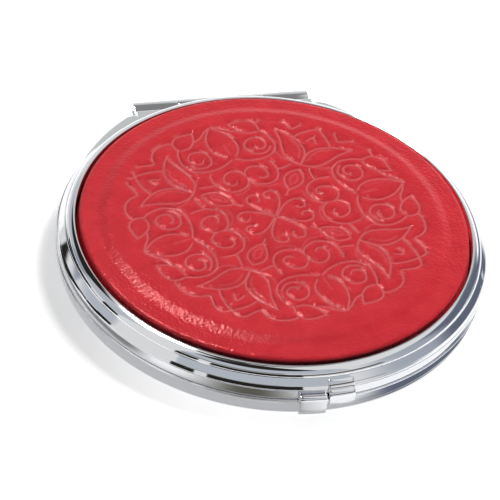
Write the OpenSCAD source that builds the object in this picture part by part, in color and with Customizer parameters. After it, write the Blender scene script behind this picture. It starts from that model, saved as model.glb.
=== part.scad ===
// Round pocket mirror: two pressed steel shells on a pinned hinge, a padded
// leather insert in the lid and a glass mirror in each half.
// Millimetres, +Z up. The origin is the centre of the flat underside, the
// hinge lies at +Y and the catch at -Y. The case is drawn closed.

/* [Case] */
// Outside diameter over the edge bead
case_d = 70.4; // [62:0.2:80]
// Height of the base shell, from its underside to the parting plane
base_h = 3.9; // [3.7:0.1:5]
// Thickness of the pressed sheet
sheet_t = 0.5; // [0.4:0.05:0.55]
// Gap between the closed shells
parting_gap = 0.1; // [0.06:0.02:0.2]

/* [Lid rim] */
// Height of the rolled edge bead
bead_h = 1.75; // [1.5:0.05:1.9]
// Height of the groove above the bead
groove_h = 0.4; // [0.2:0.05:0.5]
// Height of the wide sloping band
band_h = 1.3; // [1.1:0.05:1.6]
// Height of the rounded lip above the band
crown_h = 1.35; // [1.25:0.05:1.45]
// Radius of the rounded lip
crown_r = 1.9; // [1.8:0.05:2.1]
// Width of the lip, from the band to the recess
lip_w = 1.65; // [1.55:0.05:1.75]
// Depth of the recess that holds the leather insert
recess_d = 1.95; // [1.75:0.05:2.1]

/* [Leather insert] */
// Gap between the insert and the recess wall
insert_gap = 0.3; // [0.15:0.05:0.5]
// Thickness of the leather
leather_t = 0.8; // [0.6:0.05:1]
// Thickness of the leather pared down where it is turned under
turned_t = 0.4; // [0.3:0.05:0.5]
// Width of the leather turned under the board
turned_w = 4.5; // [3:0.5:7]
// Thickness of the stiffening board
board_t = 1.2; // [1:0.05:1.5]
// Rise of the sloping border, from the edge to the raised centre
border_rise = 0.15; // [0.05:0.05:0.4]
// Width of the sloping border
border_w = 2.9; // [2.2:0.1:4]
// Height of the raised centre above the border
plateau_h = 0.65; // [0.4:0.05:1]
// Crown of the raised centre
plateau_crown = 0.15; // [0.05:0.05:0.4]

/* [Mirrors] */
// Thickness of the mirror glass
glass_t = 1.5; // [1.2:0.05:1.55]
// Depth of the hollow in the magnifying glass
glass_hollow = 0.3; // [0.1:0.05:0.5]
// Inset of the glass edge from the case edge
glass_inset = 4.2; // [3.8:0.1:6]
// Depth of the frame faces behind the parting plane
face_inset = 0.35; // [0.25:0.05:0.5]
// Width of the frame lip over the glass
frame_lip_w = 0.7; // [0.4:0.1:1.2]
// Thickness of the frame lip over the glass
frame_lip_t = 0.3; // [0.2:0.05:0.4]
// Thickness of the adhesive pads
pad_t = 0.25; // [0.15:0.05:0.3]

/* [Hinge] */
// Length of the hinge barrel
hinge_w = 30.6; // [26:0.2:34]
// Length of the middle knuckle, on the base
knuckle_w = 15; // [10:0.5:18]
// Diameter of the barrel
barrel_d = 3; // [2.6:0.1:3.2]
// Diameter of the pin
pin_d = 1.2; // [0.9:0.1:1.5]
// Distance of the pin outside the case edge
pin_out = 1.3; // [1.2:0.05:1.6]
// Gap beside each knuckle
knuckle_gap = 0.1; // [0.06:0.02:0.2]
// Radial clearance of the pin in the turning knuckle
pin_clear = 0.03; // [0.02:0.01:0.08]

/* [Catch] */
// Width of the lift tab on the lid
tab_w = 4.2; // [3:0.1:6]
// Width of the spring catch on the base
catch_w = 4.2; // [3:0.1:6]
// Gap between the lift tab and the spring catch
catch_gap = 0.4; // [0.3:0.05:1]
// Thickness of the tab and the catch
catch_t = 0.4; // [0.3:0.05:0.5]
// Reach of the lift tab past the case edge
tab_reach = 1.2; // [1:0.05:1.6]
// Reach of the spring catch past the case edge
catch_reach = 1.6; // [1.4:0.05:2]

/* [Hidden] */
$fn = 144;
arc_steps = 8;
overrun = 1;

// Heights here count from the parting plane, up for the lid and down for the base.
case_r = case_d / 2;
half_gap = parting_gap / 2;

// Lid rim, as insets from the case edge
bead_r = bead_h / 2;
groove_inset = 0.5;
band_low_inset = 0.15;
band_top_inset = 1.15;
band_bow = 0.06;
lip_edge_r = 0.15;
band_low = half_gap + bead_h + groove_h;
band_top = band_low + band_h;
band_r = case_r - band_top_inset;
lip_top = band_top + crown_h;
recess_r = band_r - lip_w;
crown_z = lip_top - crown_r;
crown_a = asin((crown_r - crown_h) / crown_r);
crown_x = band_r - crown_r * cos(crown_a);
edge_x = recess_r + lip_edge_r;
edge_a = acos((edge_x - crown_x) / (crown_r - lip_edge_r));
edge_z = crown_z + (crown_r - lip_edge_r) * sin(edge_a);
floor_top = lip_top - recess_d;
floor_low = floor_top - sheet_t;

// Base shell
rim_r = 0.2;
wall_draft = 0.45;
wall_bow = 0.1;
foot_w = 1.55;
foot_h = 1.35;
ring_inset = 6.2;
ring_w = 0.8;
ring_d = 0.2;
base_floor = base_h - sheet_t;

// Leather insert
insert_r = recess_r - insert_gap;
glue_line = 0.1;
edge_round = 0.5;
under_round = 0.2;
shoulder_w = 2.4;
under_low = floor_top + glue_line;
board_low = under_low + turned_t;
board_top = board_low + board_t;
board_r = insert_r - leather_t;
glue_gap = 0.2;
plateau_r = insert_r - border_w;

// Mirrors and their frames
glass_r = case_r - glass_inset;
glass_fit = 0.05;
glass_face = face_inset + frame_lip_t;
frame_gap = 0.3;
frame_r = case_r - groove_inset - sheet_t - frame_gap;
frame_edge = 0.3;
frame_bevel = 0.8;
pad_inset = 2;

// Hinge
pin_y = case_r + pin_out;
barrel_r = barrel_d / 2;
leaf_t = 0.5;
leaf_clear = 0.2;
leaf_y = pin_y - barrel_r - leaf_clear - leaf_t;
solder_t = 0.03;
seat_y = leaf_y - solder_t;
end_gap = 0.3;
pin_recess = 0.7;
pin_seat = 0.01;
notch_x = hinge_w / 2 + end_gap;
seat_r = case_r - groove_inset - sheet_t;
cheek_w = 1.4;
cheek_back = 3.3;
cheek_round = 0.7;
cheek_step = 0.6;
cheek_end = 51;

// Catch and tab
slot_clear = 0.05;
strip_gap = 0.1;
strip_out = strip_gap + catch_t;
slot_top = 0.45;
root_drop = 1;
arch_h = 0.95;
tail_h = 0.45;
tail_r = 3.2;
tail_turn = 28;
nib = 0.05;
nib_h = 1.2;
tab_skip = 2;
tab_mid_h = 0.4;
tab_half_h = 1.6;
tab_turn = 70;
tab_axis = 0.2;

// Points on an elliptical arc from angle a0 to angle a1
function arc(cx, cz, rx, rz, a0, a1) =
    [for (i = [0:arc_steps]) let (a = a0 + (a1 - a0) * i / arc_steps)
        [cx + rx * cos(a), cz + rz * sin(a)]];

// Points on a shallow bow from p to q, raised to its right-hand side by b
function bow(p, q, b) =
    let (d = (q - p) / norm(q - p))
    [for (i = [0:arc_steps]) let (s = i / arc_steps)
        p + (q - p) * s + [d[1], -d[0]] * b * sin(180 * s)];

function flip(points) = [for (p = points) [p[0], -p[1]]];

module at_parting() { translate([0, 0, base_h]) children(); }
module turned(points) { rotate_extrude() polygon(points); }

// Part of a turned ring, w wide at the case edge, its middle at angle a from -Y
module turned_strip(points, w, a) {
    sweep_a = w / case_r * 180 / PI;
    rotate([0, 0, a - 90 - sweep_a / 2]) rotate_extrude(angle = sweep_a) polygon(points);
}

// Band of the lid rim, top edge last
band_line = bow([case_r - band_low_inset, band_low], [band_r, band_top], band_bow);

// Rounded lip, from the band over its top and down its inner edge
lip_line = concat(
    [for (i = [1:arc_steps]) arc(crown_x, crown_z, crown_r, crown_r, crown_a, edge_a)[i]],
    [for (i = [1:arc_steps]) arc(edge_x, edge_z, lip_edge_r, lip_edge_r, edge_a, 180)[i]]);

lid_outline = concat(
    arc(case_r - bead_r, half_gap + bead_r, bead_r, bead_r, -90, 60),
    [[case_r - groove_inset, band_low - groove_h / 2]],
    band_line,
    lip_line,
    [[recess_r, floor_top], [0, floor_top], [0, floor_low], [recess_r + sheet_t, floor_low]],
    arc(crown_x, crown_z, crown_r - sheet_t, crown_r - sheet_t, 70, crown_a),
    [[band_r - sheet_t * 4 / 5, band_top - sheet_t / 2],
     [case_r - groove_inset - sheet_t, band_low - groove_h / 2]],
    arc(case_r - bead_r, half_gap + bead_r, bead_r - sheet_t, bead_r - sheet_t, 60, -90));

base_outline = concat(
    arc(case_r - rim_r, half_gap + rim_r, rim_r, rim_r, -90, 0),
    bow([case_r, half_gap + rim_r], [case_r - wall_draft, base_h - foot_h], wall_bow),
    arc(case_r - wall_draft - foot_w, base_h - foot_h, foot_w, foot_h, 0, 90),
    [[case_r - ring_inset + ring_w / 2, base_h], [case_r - ring_inset + ring_w / 2, base_h - ring_d],
     [case_r - ring_inset - ring_w / 2, base_h - ring_d], [case_r - ring_inset - ring_w / 2, base_h],
     [0, base_h], [0, base_floor]],
    arc(case_r - wall_draft - foot_w, base_h - foot_h, foot_w - sheet_t, foot_h - sheet_t, 90, 0),
    [[case_r - sheet_t, half_gap + rim_r], [case_r - sheet_t, half_gap]]);

// Half of the seat that carries the round rim out to the straight hinge, from height z0 to z1
module hinge_seat(z0, z1) {
    corner = [notch_x + cheek_w, pin_y - cheek_back];
    corner_a = atan2(corner[0], corner[1]);
    start_a = corner_a + cheek_round / case_r * 180 / PI;
    flare = [for (i = [0:arc_steps]) let (a = cheek_end + (start_a - cheek_end) * i / arc_steps)
        (case_r + (norm(corner) - case_r) * (cheek_end - a) / (cheek_end - corner_a)) * [sin(a), cos(a)]];
    difference() {
        translate([0, 0, z0]) linear_extrude(z1 - z0)
            polygon(concat(flare, [corner - [cheek_round, 0],
                     [notch_x, corner[1]], [hinge_w / 2, corner[1] - cheek_step], [hinge_w / 2, seat_y],
                     [0, seat_y], [0, corner[1] - cheek_step], seat_r * [sin(cheek_end), cos(cheek_end)]]));
        translate([0, 0, z0 - overrun]) cylinder(h = z1 - z0 + 2 * overrun, r = seat_r);
    }
}

module hinge_seats(z0, z1) {
    hinge_seat(z0, z1);
    mirror([1, 0, 0]) hinge_seat(z0, z1);
}

// Cut behind the seat, from height z0 to z1, that leaves room for the barrel and its leaves
module hinge_notch(z0, z1) {
    translate([-notch_x, seat_y, z0]) cube([2 * notch_x, case_r, z1 - z0]);
}

module barrel(x0, w, bore_r) {
    translate([x0, pin_y, 0]) rotate([0, 90, 0]) difference() {
        cylinder(h = w, r = barrel_r);
        translate([0, 0, -overrun]) cylinder(h = w + 2 * overrun, r = bore_r);
    }
}

// Rolled knuckle with its tongue, above the pin for side 1 and below it for side -1
module knuckle(x0, w, bore_r, side) {
    tongue_z = side > 0 ? barrel_r - leaf_t : -barrel_r;
    barrel(x0, w, bore_r);
    translate([x0, leaf_y + leaf_t / 2, tongue_z]) difference() {
        cube([w, pin_y - leaf_y - leaf_t / 2, leaf_t]);
        translate([-overrun, pin_y - leaf_y - leaf_t / 2, -tongue_z]) rotate([0, 90, 0])
            cylinder(h = w + 2 * overrun, r = (bore_r + barrel_r) / 2);
    }
}

module leaf_plate(z0, z1) {
    translate([-hinge_w / 2, leaf_y, z0]) cube([hinge_w, leaf_t, z1 - z0]);
}

// Ring of radius r that holds the glass in a shell whose floor lies at depth f
module mirror_frame(r, f) {
    turned([[glass_r - frame_lip_w, face_inset], [r - frame_edge, face_inset],
            [r, face_inset + frame_edge], [r, f - frame_bevel],
            [r - frame_bevel, f], [glass_r + glass_fit, f],
            [glass_r + glass_fit, glass_face], [glass_r - frame_lip_w, glass_face]]);
}

// Surface of the padding, from the centre out, which the leather follows
pad_line = concat(
    [for (i = [0:arc_steps]) let (s = i / arc_steps)
        [(plateau_r - shoulder_w) * s,
         board_top + border_rise + plateau_h + plateau_crown * (1 - s * s)]],
    [for (i = [1:arc_steps]) let (s = i / arc_steps)
        [plateau_r - shoulder_w + shoulder_w * s,
         board_top + border_rise + plateau_h * (1 + cos(180 * s)) / 2]],
    [[board_r, board_top]]);

// Outer surface of the leather, one thickness above the padding
skin_line = concat(
    [for (p = pad_line) if (p[0] < board_r) [p[0], p[1] + leather_t]],
    arc(insert_r - edge_round, board_top + leather_t - edge_round, edge_round, edge_round, 70, 0));

cover_outline = concat(
    skin_line,
    arc(insert_r - under_round, under_low + under_round, under_round, under_round, 0, -90),
    [[insert_r - turned_w, under_low], [insert_r - turned_w, board_low], [board_r, board_low]],
    [for (i = [len(pad_line) - 1:-1:0]) pad_line[i]]);

tab_seat = [for (i = [0:arc_steps - tab_skip]) band_line[i]];
tab_root = tab_seat[len(tab_seat) - 1];

tab_line = concat(
    [tab_root + [catch_t / 2, catch_t / 2],
     [case_r - band_low_inset + catch_t * 2 / 3, band_low + catch_t * 2 / 3]],
    arc(case_r + tab_axis, tab_mid_h, tab_reach - tab_axis, tab_half_h, 85, -tab_turn),
    arc(case_r + tab_axis, tab_mid_h, tab_reach - tab_axis - catch_t, tab_half_h - catch_t, -tab_turn, 85),
    tab_seat);

// Radius of the base wall's inner face at depth d
function wall_in(d) = case_r - sheet_t
    - wall_draft * (d - half_gap - rim_r) / (base_h - foot_h - half_gap - rim_r);

root_r = wall_in(slot_top + catch_t + root_drop) - slot_clear;
catch_line = concat(
    [[root_r - catch_t, -slot_top - catch_t - root_drop],
     [root_r, -slot_top - catch_t - root_drop],
     [wall_in(slot_top + catch_t) - slot_clear, -slot_top - catch_t],
     [case_r + strip_out, -slot_top - catch_t]],
    arc(case_r + (strip_out + catch_reach - catch_t) / 2, arch_h,
        (catch_reach - catch_t - strip_out) / 2, (catch_reach - catch_t - strip_out) / 2, 180, 0),
    arc(case_r + catch_reach - tail_r, -tail_h, tail_r - catch_t, tail_r - catch_t, 0, -tail_turn),
    arc(case_r + catch_reach - tail_r, -tail_h, tail_r, tail_r, -tail_turn, 0),
    arc(case_r + (strip_gap + catch_reach) / 2, arch_h,
        (catch_reach - strip_gap) / 2, (catch_reach - strip_gap) / 2, 0, 160),
    [[case_r + strip_gap - nib, nib_h], [case_r + strip_gap, nib_h - 2 * nib],
     [case_r + strip_gap, -slot_top], [root_r - catch_t, -slot_top]]);

tab_a = (catch_gap + tab_w) / 2 / case_r * 180 / PI;
catch_a = -(catch_gap + catch_w) / 2 / case_r * 180 / PI;

module base_shell() {
    slot_a = (catch_w + 2 * slot_clear) / case_r * 180 / PI;
    color("gainsboro") at_parting() difference() {
        union() {
            turned(flip(base_outline));
            hinge_seats(-band_low, -half_gap);
        }
        hinge_notch(-band_low, overrun);
        rotate([0, 0, catch_a - 90 - slot_a / 2]) rotate_extrude(angle = slot_a)
            polygon([[root_r, -slot_top - catch_t - slot_clear],
                     [case_r + overrun, -slot_top - catch_t - slot_clear],
                     [case_r + overrun, slot_clear - slot_top],
                     [root_r, slot_clear - slot_top]]);
    }
}

module base_hinge_leaf() {
    color("silver") at_parting() {
        leaf_plate(-barrel_r, -half_gap);
        knuckle(-knuckle_w / 2, knuckle_w, pin_d / 2 + pin_clear, -1);
    }
}

module base_catch() {
    color("silver") at_parting() turned_strip(catch_line, catch_w, catch_a);
}

module base_mirror_adhesive() {
    color("white") at_parting() translate([0, 0, -base_floor])
        cylinder(h = pad_t, r = glass_r - pad_inset);
}

module base_mirror_spacer() {
    color("tan") at_parting() translate([0, 0, pad_t - base_floor])
        cylinder(h = base_floor - pad_t - glass_t - glass_face, r = glass_r - glass_fit);
}

module base_mirror_glass() {
    rim = glass_r - frame_lip_w;
    color("lightsteelblue") at_parting()
        turned(concat([[0, -glass_face - glass_t], [glass_r, -glass_face - glass_t], [glass_r, -glass_face]],
                      [for (i = [arc_steps:-1:0]) let (s = i / arc_steps)
                          [rim * s, -glass_face - glass_hollow * (1 - s * s)]]));
}

module base_mirror_frame() {
    color("silver") at_parting() mirror([0, 0, 1]) mirror_frame(root_r - catch_t - strip_gap, base_floor);
}

module lid_shell() {
    color("gainsboro") at_parting() difference() {
        union() {
            turned(lid_outline);
            hinge_seats(half_gap, band_low);
        }
        hinge_notch(-overrun, band_low);
    }
}

module lid_hinge_leaf() {
    side_w = (hinge_w - knuckle_w) / 2 - knuckle_gap;
    color("silver") at_parting() {
        leaf_plate(half_gap, barrel_r);
        for (x0 = [-hinge_w / 2, knuckle_w / 2 + knuckle_gap])
            knuckle(x0, side_w, pin_d / 2 + pin_seat, 1);
    }
}

module hinge_pin() {
    color("gray") at_parting() translate([pin_recess - hinge_w / 2, pin_y, 0]) rotate([0, 90, 0])
        cylinder(h = hinge_w - 2 * pin_recess, r = pin_d / 2);
}

module lift_tab() {
    color("silver") at_parting() turned_strip(tab_line, tab_w, tab_a);
}

module lid_mirror_adhesive() {
    color("white") at_parting() translate([0, 0, floor_low - pad_t])
        cylinder(h = pad_t, r = glass_r - pad_inset);
}

module lid_mirror_glass() {
    color("lightsteelblue") at_parting() translate([0, 0, glass_face])
        cylinder(h = floor_low - pad_t - glass_face, r = glass_r);
}

module lid_mirror_frame() {
    color("silver") at_parting() mirror_frame(frame_r, floor_low);
}

module insert_adhesive() {
    color("ivory") at_parting() translate([0, 0, floor_top])
        cylinder(h = board_low - floor_top, r = insert_r - turned_w - glue_gap);
}

module insert_board() {
    color("tan") at_parting() translate([0, 0, board_low]) cylinder(h = board_t, r = board_r);
}

module leather_padding() {
    color("lightgray") at_parting() turned(concat([[0, board_top]], pad_line));
}

module leather_cover() {
    color("crimson") at_parting() turned(cover_outline);
}

base_shell();
base_hinge_leaf();
base_catch();
base_mirror_adhesive();
base_mirror_spacer();
base_mirror_glass();
base_mirror_frame();
lid_shell();
lid_hinge_leaf();
hinge_pin();
lift_tab();
lid_mirror_adhesive();
lid_mirror_glass();
lid_mirror_frame();
insert_adhesive();
insert_board();
leather_padding();
leather_cover();
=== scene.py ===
import math

import bpy
import numpy as np
from mathutils import Matrix, Vector


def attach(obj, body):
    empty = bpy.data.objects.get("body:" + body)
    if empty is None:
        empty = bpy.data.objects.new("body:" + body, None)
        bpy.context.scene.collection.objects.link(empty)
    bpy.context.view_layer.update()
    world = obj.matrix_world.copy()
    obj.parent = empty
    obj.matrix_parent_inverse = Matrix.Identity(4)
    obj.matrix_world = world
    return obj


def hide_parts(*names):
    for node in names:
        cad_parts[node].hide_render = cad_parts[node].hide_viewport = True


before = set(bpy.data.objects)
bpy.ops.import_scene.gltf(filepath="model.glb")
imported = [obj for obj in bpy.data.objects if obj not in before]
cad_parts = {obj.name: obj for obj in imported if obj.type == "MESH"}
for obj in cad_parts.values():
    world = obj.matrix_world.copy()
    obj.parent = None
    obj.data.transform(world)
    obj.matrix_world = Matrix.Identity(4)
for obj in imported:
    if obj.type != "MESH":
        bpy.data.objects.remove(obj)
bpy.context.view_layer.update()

# ---------------------------------------------------------------- view
# The camera looks down on the closed case from its front left, with a long lens, slightly rolled. Lengths are
# written in millimetres in this file, and mm turns them into metres.
mm = 0.001
view_height, view_distance = 9.1 * mm, 550 * mm
view_azimuth, view_elevation, view_roll = 19.6, 41.14, 8.35

turn, rise = math.radians(view_azimuth), math.radians(view_elevation)
towards_camera = Vector((-math.sin(turn) * math.cos(rise), -math.cos(turn) * math.cos(rise), math.sin(rise)))
camera_data = bpy.data.cameras.new("camera")
camera_data.lens, camera_data.sensor_width = 244.3, 36
camera_data.shift_x, camera_data.shift_y = -0.0501, -0.0521
camera_data.clip_start, camera_data.clip_end = 0.01, 20
camera = bpy.data.objects.new("camera", camera_data)
bpy.context.scene.collection.objects.link(camera)
camera.matrix_world = (Matrix.Translation(Vector((0, 0, view_height)) + towards_camera * view_distance)
                       @ (towards_camera.to_track_quat("Z", "Y").to_matrix().to_4x4())
                       @ Matrix.Rotation(math.radians(view_roll), 4, "Z"))
bpy.context.scene.camera = camera
bpy.context.scene.view_settings.view_transform = "Standard"


# ---------------------------------------------------------------- floor and light
# A white table under a white surround, and one large soft lamp behind to the right, which reflections leave out.
# Curved cards that only reflections see paint reflections, as in a photographer's tent: they give the polished rims
# their black, grey and slate lines, and two bright ones paint highlights and a sheen on the leather.
table_r = 2500
ring_r, ring_a = np.array([30, 46, 62, 90, 300, table_r]), np.radians(np.arange(0, 360, 7.5))


def new_material(name):
    """An empty node material, with its nodes, a linking function and the output node."""
    material = bpy.data.materials.new(name)
    material.use_nodes = True
    nodes = material.node_tree.nodes
    nodes.clear()
    out = nodes.new("ShaderNodeOutputMaterial")
    return material, nodes, material.node_tree.links.new, out


def mesh_object(name, points, quads, triangles=()):
    """A smooth-shaded object from an array of points in millimetres and arrays of four- and three-cornered faces."""
    quads = np.asarray(quads, np.int32).reshape(-1, 4)
    triangles = np.asarray(triangles, np.int32).reshape(-1, 3)
    mesh = bpy.data.meshes.new(name)
    mesh.vertices.add(len(points))
    mesh.vertices.foreach_set("co", (np.asarray(points, float) * mm).astype(np.float32).ravel())
    corners = np.concatenate([quads.ravel(), triangles.ravel()])
    sizes = np.concatenate([np.full(len(quads), 4), np.full(len(triangles), 3)])
    mesh.loops.add(len(corners))
    mesh.loops.foreach_set("vertex_index", corners)
    mesh.polygons.add(len(sizes))
    mesh.polygons.foreach_set("loop_start", np.concatenate([[0], np.cumsum(sizes)[:-1]]))
    mesh.polygons.foreach_set("loop_total", sizes)
    mesh.polygons.foreach_set("use_smooth", np.ones(len(sizes), bool))
    mesh.update(calc_edges=True)
    mesh.validate()
    piece = bpy.data.objects.new(name, mesh)
    bpy.context.scene.collection.objects.link(piece)
    return piece


def ring_quads(rings):
    """The faces between closed rings of points: rings holds the point numbers, one ring a row, each joined to the
    next, and the last point of a ring to its first."""
    after = np.roll(rings, -1, 1)
    return np.stack([rings[:-1], rings[1:], after[1:], after[:-1]], -1).reshape(-1, 4)


r, a = np.meshgrid(ring_r, ring_a, indexing="ij")
index = 1 + np.arange(r.size).reshape(r.shape)
table_points = np.stack([r * np.cos(a), r * np.sin(a), 0 * a], -1).reshape(-1, 3)
table = mesh_object("table", np.concatenate([[(0, 0, 0)], table_points]), ring_quads(index),
                    np.stack([0 * index[0], index[0], np.roll(index[0], -1)], -1))


def maths(nodes, link, operation, first, second):
    """The result of a maths node on two sockets."""
    node = nodes.new("ShaderNodeMath")
    node.operation = operation
    link(first, node.inputs[0])
    link(second, node.inputs[1])
    return node.outputs[0]


def ranged(nodes, link, value, made, given=(0, 1), kind="LINEAR"):
    """A value whose given range is stretched onto the range made, on a straight line or, as SMOOTHSTEP, an S."""
    node = nodes.new("ShaderNodeMapRange")
    node.interpolation_type = kind
    node.inputs["From Min"].default_value, node.inputs["From Max"].default_value = given
    node.inputs["To Min"].default_value, node.inputs["To Max"].default_value = made
    link(value, node.inputs["Value"])
    return node.outputs["Result"]


def mixed(nodes, link, share, first, second):
    """A mix of two shaders: the first where the share is 0, the second where it is 1."""
    mix = nodes.new("ShaderNodeMixShader")
    link(share, mix.inputs[0])
    link(first, mix.inputs[1])
    link(second, mix.inputs[2])
    return mix.outputs[0]


def seen_rays(nodes, link):
    """A socket that is 1 for camera, glossy and transmission rays and 0 for the others."""
    path = nodes.new("ShaderNodeLightPath")
    either = maths(nodes, link, "MAXIMUM", path.outputs["Is Camera Ray"], path.outputs["Is Glossy Ray"])
    return maths(nodes, link, "MAXIMUM", either, path.outputs["Is Transmission Ray"])


# The table glows for the rays that see it: less near the case, where the shadow lies, which deepens it with a painted
# shade, also in reflections, and for the camera more on the front right, which paints light over the shadow there.
# Each glow runs between two strengths as a distance in metres runs between two others.
near_glow, near_reach = (0.3, 0.42), (0.036, 0.075)
side_glow, side_reach, front_right = (0.4, 0.75), (-0.034, 0.004), (0.9, -0.44, 0)
table_white, nodes, link, out = new_material("table_white")
matt, glow = nodes.new("ShaderNodeBsdfDiffuse"), nodes.new("ShaderNodeEmission")
matt.inputs["Color"].default_value = (0.84, 0.84, 0.85, 1)
where, path = nodes.new("ShaderNodeTexCoord"), nodes.new("ShaderNodeLightPath")
distance, facing = nodes.new("ShaderNodeVectorMath"), nodes.new("ShaderNodeVectorMath")
distance.operation, facing.operation = "LENGTH", "DOT_PRODUCT"
facing.inputs[1].default_value = front_right
link(where.outputs["Object"], distance.inputs[0])
link(where.outputs["Object"], facing.inputs[0])
rising = ranged(nodes, link, distance.outputs["Value"], near_glow, near_reach, "SMOOTHSTEP")
lift = ranged(nodes, link, facing.outputs["Value"], side_glow, side_reach, "SMOOTHSTEP")
direct = maths(nodes, link, "MULTIPLY", path.outputs["Is Camera Ray"], lift)
link(maths(nodes, link, "MAXIMUM", direct, rising), glow.inputs["Strength"])
both = nodes.new("ShaderNodeAddShader")
link(matt.outputs[0], both.inputs[0])
link(glow.outputs[0], both.inputs[1])
link(mixed(nodes, link, seen_rays(nodes, link), matt.outputs[0], both.outputs[0]), out.inputs[0])
table.data.materials.append(table_white)

surround_lights, surround_shows = 0.36, 1.0
surround = bpy.data.worlds.new("surround")
surround.use_nodes = True
bpy.context.scene.world = surround
nodes, link = surround.node_tree.nodes, surround.node_tree.links.new
nodes.clear()
out = nodes.new("ShaderNodeOutputWorld")
dim, full = nodes.new("ShaderNodeBackground"), nodes.new("ShaderNodeBackground")
dim.inputs["Strength"].default_value, full.inputs["Strength"].default_value = surround_lights, surround_shows
link(mixed(nodes, link, seen_rays(nodes, link), dim.outputs[0], full.outputs[0]), out.inputs[0])

lamp_azimuth, lamp_elevation, lamp_distance, lamp_size, lamp_power = 34, 58, 900, 300, 6.3
a, e = math.radians(lamp_azimuth), math.radians(lamp_elevation)
away = Vector((math.cos(a) * math.cos(e), math.sin(a) * math.cos(e), math.sin(e)))
lamp_data = bpy.data.lights.new("lamp_back_right", "AREA")
lamp_data.shape, lamp_data.size, lamp_data.energy = "SQUARE", lamp_size * mm, lamp_power
lamp = bpy.data.objects.new("lamp_back_right", lamp_data)
bpy.context.scene.collection.objects.link(lamp)
lamp.matrix_world = (Matrix.Translation(away * lamp_distance * mm)
                     @ away.to_track_quat("Z", "Y").to_matrix().to_4x4())
lamp.visible_glossy = False

# A card glows in its own tone, a painted reflection, where its cover is whole, and lets rays through where it is not.
painted_reflection, nodes, link, out = new_material("painted_reflection")
tone, cover = nodes.new("ShaderNodeAttribute"), nodes.new("ShaderNodeAttribute")
tone.attribute_name, cover.attribute_name = "tone", "cover"
dull, clear = nodes.new("ShaderNodeEmission"), nodes.new("ShaderNodeBsdfTransparent")
link(tone.outputs["Color"], dull.inputs["Color"])
link(mixed(nodes, link, cover.outputs["Fac"], clear.outputs[0], dull.outputs[0]), out.inputs[0])
card_foot, card_eye, card_lift, card_lie, least_fall = 34.7, 5, 6, 0.4, 0.3


def smooth(s):
    """The S-shaped curve s squared times (3 - 2 s), for s from 0 to 1."""
    return s * s * (3 - 2 * s)


def grid_quads(index):
    """The faces of a grid of points: index holds the point numbers, and each cell has its four corners."""
    return np.stack([index[:-1, :-1], index[:-1, 1:], index[1:, 1:], index[1:, :-1]], -1).reshape(-1, 4)


def card(name, azimuths, elevations, feather, distance, *colours):
    """A curved card seen only in reflections: a patch of a sphere between two azimuths and two elevations, in
    degrees. Below the horizon it lies on the table instead, as far out from the foot of the case as a line reaches
    that falls at that angle from the eye's height. Its cover rises smoothly from its edges over the feather angles,
    and its colour runs from the first one given to the last along the azimuth."""
    a, e = np.meshgrid(np.linspace(*azimuths, 49), np.linspace(*elevations, 33), indexing="ij")
    low = np.minimum(distance, card_foot + card_eye / np.tan(np.radians(np.maximum(-e, least_fall))))
    r = np.where(e < 0, low, distance * np.cos(np.radians(e)))
    z = np.where(e < 0, card_lie, distance * np.sin(np.radians(e)) + card_lift)
    points = np.stack([r * np.cos(np.radians(a)), r * np.sin(np.radians(a)), z], -1)
    panel = mesh_object(name, points.reshape(-1, 3), grid_quads(np.arange(a.size).reshape(a.shape)))
    near_a = np.minimum(a - azimuths[0], azimuths[1] - a) / feather[0]
    near_e = np.minimum(e - elevations[0], elevations[1] - e) / feather[1]
    near = np.clip(near_a, 0, 1) * np.clip(near_e, 0, 1)
    share = ((a - azimuths[0]) / (azimuths[1] - azimuths[0])).reshape(-1, 1)
    level = np.array(colours[0]) * (1 - share) + np.array(colours[-1]) * share
    cover = panel.data.attributes.new("cover", "FLOAT", "POINT")
    cover.data.foreach_set("value", smooth(near).ravel().astype(np.float32))
    tone = panel.data.attributes.new("tone", "FLOAT_COLOR", "POINT")
    tone.data.foreach_set("color", np.concatenate([level, np.ones_like(share)], 1).ravel().astype(np.float32))
    panel.data.materials.append(painted_reflection)
    panel.visible_camera = panel.visible_diffuse = panel.visible_shadow = False


black, slate, dusk, taupe = (0.02, 0.018, 0.016), (0.13, 0.15, 0.2), (0.3, 0.33, 0.4), (0.15, 0.13, 0.12)
iron, olive, mist, pale = (0.25, 0.245, 0.245), (0.12, 0.115, 0.095), (0.6, 0.62, 0.61), (0.5, 0.53, 0.58)
sheen, spark = (1.4, 1.4, 1.45), (60, 58, 57)
# Each card paints a reflection: the dark ones paint dark lines in the rims, and the laid ones paint the table's tone
# and shade in the reflections near the case.
card("card_left", (131, 161), (-4, 8), (2, 2), 620, black)
card("card_left_near", (145, 171), (-18, -0.5), (1, 1), 620, black)
card("card_left_narrow", (169, 180), (-6, 16), (1, 2), 620, black)
card("card_front_narrow", (-148, -135.5), (-4, 23), (1, 2), 620, black)
card("card_front", (-130.5, -86), (-4, 24), (1, 2), 620, black)
card("card_front_taupe", (-148, -93), (24, 33), (3, 3), 630, taupe)
card("card_front_brown", (-90, -45), (9, 24), (3, 3), 625, taupe)
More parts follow.
